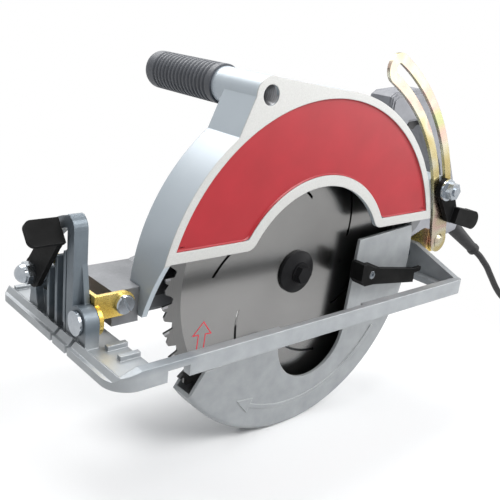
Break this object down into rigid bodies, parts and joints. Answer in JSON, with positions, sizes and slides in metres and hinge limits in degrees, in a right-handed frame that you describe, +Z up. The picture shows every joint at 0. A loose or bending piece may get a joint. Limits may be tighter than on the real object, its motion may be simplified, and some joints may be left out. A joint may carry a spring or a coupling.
{
  "type": "worm drive circular saw",
  "caption": "Worm drive circular saw with a large toothed blade, sprung lower guard, tilting cast foot with bevel quadrant, slotted depth arm, side grip and rear handle.",
  "frame": {"origin": "on the standing surface, under the middle of the saw's box without its cord", "axes": "+X to the rear along the cut, +Y to the motor side along the arbor, +Z up"},
  "size_m": [0.7979, 0.2455, 0.3139],
  "materials": {
    "guard_silver": "satin silver paint",
    "case_grey": "cast, satin",
    "steel": "ground",
    "zinc": "bright plated",
    "copper": "lacquered winding",
    "bronze": "machined",
    "carbon": "matt",
    "black_plastic": "moulded",
    "handle_grey": "moulded, fine grain",
    "grip_rubber": "matt",
    "strap": "woven",
    "blade_steel": "circular brushed",
    "black_steel": "satin black",
    "lower_silver": "satin",
    "gold_zinc": "yellow zinc plated",
    "foot_grey": "cast, satin",
    "red_plastic": "moulded"
  },
  "bodies": {
    "saw": {"upper_guard": "guard_silver", "gear_case": "case_grey", "gear_cover": "case_grey", "gear_cover_screws": "steel", "oil_plug": "zinc", "guard_retainer": "steel", "guard_screws": "steel", "arbor_bearing": "steel", "rear_arbor_bearing": "steel", "worm_bearings": "steel", "motor_housing": "case_grey", "motor_end_cap": "case_grey", "motor_screws": "steel", "field_core": "steel", "field_coils": "copper", "brush_holders": "copper", "carbon_brushes": "carbon", "brush_caps": "black_plastic", "handle_near_half": "handle_grey", "handle_far_half": "handle_grey", "handle_screws": "steel", "switch_body": "black_plastic", "side_handle_stud": "steel", "side_handle_grip": "grip_rubber", "depth_bolt": "zinc", "depth_pivot_screw": "steel", "guard_return_spring": "steel", "strain_relief": "grip_rubber", "cord_lead": "grip_rubber", "cord_coil": "grip_rubber", "cord_tie": "strap", "mains_plug": "black_plastic", "plug_pins": "bronze"},
    "armature": {"armature_shaft": "steel", "armature_core": "copper", "commutator": "copper", "cooling_fan": "black_plastic", "worm": "steel"},
    "spindle": {"arbor": "steel", "worm_wheel": "bronze", "inner_washer": "steel", "blade": "blade_steel", "outer_washer": "black_steel", "arbor_bolt": "black_steel"},
    "lower_guard": {"lower_guard": "lower_silver", "lift_lever": "black_steel", "lift_lever_screw": "steel"},
    "carrier": {"front_bracket": "gold_zinc", "rear_bracket": "gold_zinc", "bevel_pins": "steel", "bevel_bolt": "zinc", "arm_rivet": "gold_zinc"},
    "depth_arm": {"depth_arm": "gold_zinc"},
    "foot": {"foot": "foot_grey"},
    "bevel_lever": {"bevel_lever": "black_steel", "bevel_nut": "zinc"},
    "depth_lever": {"depth_lever": "black_steel", "depth_nut": "zinc"},
    "trigger": {"trigger": "black_plastic"},
    "lock_button": {"lock_button": "red_plastic"}
  },
  "joints": [
    {"name": "blade_spin", "type": "hinge", "parent": "saw", "child": "spindle", "pos_m": [-0.0387, -0.0265, 0.1355], "axis": [0, 1, 0], "continuous": true},
    {"name": "armature_spin", "type": "hinge", "parent": "saw", "child": "armature", "pos_m": [0.0313, 0.0335, 0.16274], "axis": [1, 0, 0], "continuous": true},
    {"name": "guard_swing", "type": "hinge", "parent": "saw", "child": "lower_guard", "pos_m": [-0.0387, -0.0265, 0.1355], "axis": [0, -1, 0], "range_deg": [0, 100], "stiffness_Nm_per_rad": 0.6, "springref_deg": -57.3},
    {"name": "depth_tilt", "type": "hinge", "parent": "saw", "child": "carrier", "pos_m": [-0.2017, -0.0265, 0.1405], "axis": [0, 1, 0], "range_deg": [0, 23.7]},
    {"name": "arm_swing", "type": "hinge", "parent": "carrier", "child": "depth_arm", "pos_m": [0.1276, -0.0465, 0.146], "axis": [0, 1, 0], "range_deg": [0, 13.8]},
    {"name": "bevel_tilt", "type": "hinge", "parent": "carrier", "child": "foot", "pos_m": [-0.0387, -0.0265, 0.132], "axis": [-1, 0, 0], "range_deg": [0, 45]},
    {"name": "bevel_lever_turn", "type": "hinge", "parent": "carrier", "child": "bevel_lever", "pos_m": [-0.2387, 0.02729, 0.14927], "axis": [-1, 0, 0], "range_deg": [0, 70]},
    {"name": "depth_lever_turn", "type": "hinge", "parent": "saw", "child": "depth_lever", "pos_m": [0.1173, -0.0505, 0.1975], "axis": [0, -1, 0], "range_deg": [0, 60]},
    {"name": "trigger_pull", "type": "slide", "parent": "saw", "child": "trigger", "axis": [0, 0, 1], "range_m": [0, 0.005], "stiffness_N_per_m": 600, "springref_m": -0.004},
    {"name": "lock_press", "type": "slide", "parent": "saw", "child": "lock_button", "axis": [0, -1, 0], "range_m": [0, 0.005], "stiffness_N_per_m": 600, "springref_m": -0.004}
  ],
  "couplings": [
    {"joint": "armature_spin", "follows": "blade_spin", "ratio": -5},
    {"joint": "arm_swing", "follows": "depth_tilt", "ratio": 0.58}
  ]
}
